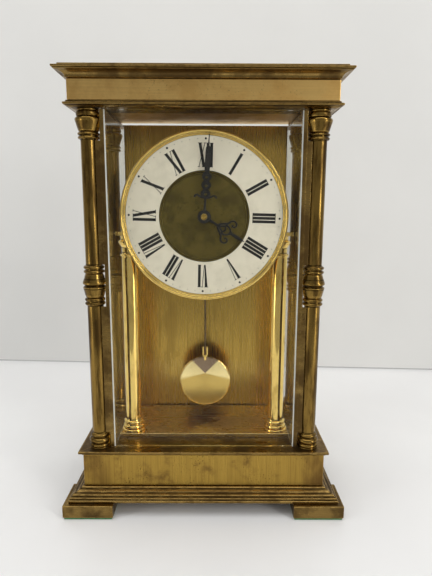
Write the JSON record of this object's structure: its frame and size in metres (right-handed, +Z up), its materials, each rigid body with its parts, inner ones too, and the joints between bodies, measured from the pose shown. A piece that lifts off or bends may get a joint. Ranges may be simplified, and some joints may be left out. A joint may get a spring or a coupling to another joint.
{
  "type": "mantel clock",
  "caption": "Brass column mantel clock: glass-sided case on a stepped plinth, round dial on inner pillars, swinging pendulum, gear movement and a hinged rear door.",
  "frame": {"origin": "under the middle of the four feet, on the surface the clock stands on", "axes": "+Z up, -Y the dial's side (front), +X the right-hand side seen from the front"},
  "size_m": [0.2148, 0.1126, 0.33],
  "materials": {
    "brass_satin": "satin, line-brushed and lightly tarnished",
    "brass_aged": "turned or moulded, darkened lacquer with bright worn edges",
    "brass_bright": "polished",
    "brass_works": "fine grained",
    "silvered": "silvered brass, matt",
    "blacked": "black lacquer",
    "steel": "polished",
    "glass": "clear, ground edges",
    "felt_green": "green felt"
  },
  "bodies": {
    "case": {"architrave": "brass_aged", "base_moulding": "brass_aged", "base_plate": "brass_aged", "bezel": "brass_bright", "chapter_ring": "silvered", "column_lower_front_left": "brass_aged", "column_lower_front_right": "brass_aged", "column_lower_rear_left": "brass_aged", "column_lower_rear_right": "brass_aged", "column_upper_front_left": "brass_aged", "column_upper_front_right": "brass_aged", "column_upper_rear_left": "brass_aged", "column_upper_rear_right": "brass_aged", "cornice": "brass_aged", "dial_plate": "brass_aged", "felt_pad_front_left": "felt_green", "felt_pad_front_right": "felt_green", "felt_pad_rear_left": "felt_green", "felt_pad_rear_right": "felt_green", "foot_front_left": "brass_aged", "foot_front_right": "brass_aged", "foot_rear_left": "brass_aged", "foot_rear_right": "brass_aged", "frieze_box": "brass_satin", "glass_front": "glass", "glass_left": "glass", "glass_right": "glass", "inner_pillar_left": "brass_bright", "inner_pillar_right": "brass_bright", "inner_platform": "brass_satin", "movement_bar": "brass_bright", "movement_plate_back": "brass_works", "movement_plate_front": "brass_works", "plinth_box": "brass_satin", "suspension_cock": "brass_works", "tie_rod_front_left": "steel", "tie_rod_front_right": "steel", "tie_rod_rear_left": "steel", "tie_rod_rear_right": "steel"},
    "rear_door": {"rear_door": "brass_satin", "door_knob": "brass_bright"},
    "centre": {"centre_wheel": "brass_works", "cannon_pinion": "steel", "minute_hand": "blacked", "hand_nut": "brass_bright"},
    "hour": {"hour_wheel": "brass_works", "hour_hand": "blacked"},
    "minute_work": {"minute_wheel": "brass_works", "set_knob": "brass_bright"},
    "barrel": {"spring_barrel": "brass_works", "mainspring": "steel"},
    "winder": {"winding_arbor": "steel", "winding_key": "brass_bright"},
    "click": {"click": "steel"},
    "intermediate": {"intermediate_wheel": "brass_works"},
    "third": {"third_wheel": "brass_works"},
    "escape": {"escape_wheel": "brass_works"},
    "pallets": {"pallets": "steel"},
    "pendulum": {"pendulum_rod": "steel", "pendulum_bob": "brass_bright"}
  },
  "joints": [
    {"name": "centre_turn", "type": "hinge", "parent": "case", "child": "centre", "pos_m": [0, -0.0029, 0.2287], "axis": [0, 1, 0], "continuous": true},
    {"name": "hour_turn", "type": "hinge", "parent": "case", "child": "hour", "pos_m": [0, -0.0202, 0.2287], "axis": [0, 1, 0], "continuous": true},
    {"name": "minute_wheel_turn", "type": "hinge", "parent": "case", "child": "minute_work", "pos_m": [-0.01455, -0.0029, 0.2371], "axis": [0, 1, 0], "continuous": true},
    {"name": "intermediate_turn", "type": "hinge", "parent": "case", "child": "intermediate", "pos_m": [-0.00848, -0.0029, 0.21282], "axis": [0, 1, 0], "continuous": true},
    {"name": "barrel_turn", "type": "hinge", "parent": "case", "child": "barrel", "pos_m": [0.01296, -0.0029, 0.21019], "axis": [0, 1, 0], "continuous": true},
    {"name": "third_turn", "type": "hinge", "parent": "case", "child": "third", "pos_m": [0.01023, -0.0029, 0.24192], "axis": [0, 1, 0], "continuous": true},
    {"name": "escape_turn", "type": "hinge", "parent": "case", "child": "escape", "pos_m": [0, -0.0009, 0.2537], "axis": [0, 1, 0], "continuous": true},
    {"name": "winder_turn", "type": "hinge", "parent": "case", "child": "winder", "pos_m": [0.01296, 0.01, 0.21019], "axis": [0, 1, 0], "continuous": true},
    {"name": "click_pivot", "type": "hinge", "parent": "case", "child": "click", "pos_m": [0.02388, 0.0104, 0.21029], "axis": [0, 1, 0], "range_deg": [-12, 0], "stiffness_Nm_per_rad": 0.0002},
    {"name": "pendulum_swing", "type": "hinge", "parent": "case", "child": "pendulum", "pos_m": [0, 0.0141, 0.2659], "axis": [0, 1, 0], "range_deg": [-3, 3]},
    {"name": "pallets_rock", "type": "hinge", "parent": "case", "child": "pallets", "pos_m": [0, -0.0009, 0.2659], "axis": [0, 1, 0], "range_deg": [-3, 3]},
    {"name": "rear_door_hinge", "type": "hinge", "parent": "case", "child": "rear_door", "pos_m": [0.0713, 0.038, 0.1778], "axis": [0, 0, -1], "range_deg": [0, 90]}
  ],
  "couplings": [
    {"joint": "hour_turn", "follows": "centre_turn", "ratio": 0.083333},
    {"joint": "minute_wheel_turn", "follows": "centre_turn", "ratio": -0.33333},
    {"joint": "intermediate_turn", "follows": "centre_turn", "ratio": -0.25},
    {"joint": "barrel_turn", "follows": "centre_turn", "ratio": 0.03125},
    {"joint": "third_turn", "follows": "centre_turn", "ratio": -11.667},
    {"joint": "escape_turn", "follows": "centre_turn", "ratio": 140},
    {"joint": "pallets_rock", "follows": "pendulum_swing", "ratio": 1}
  ]
}
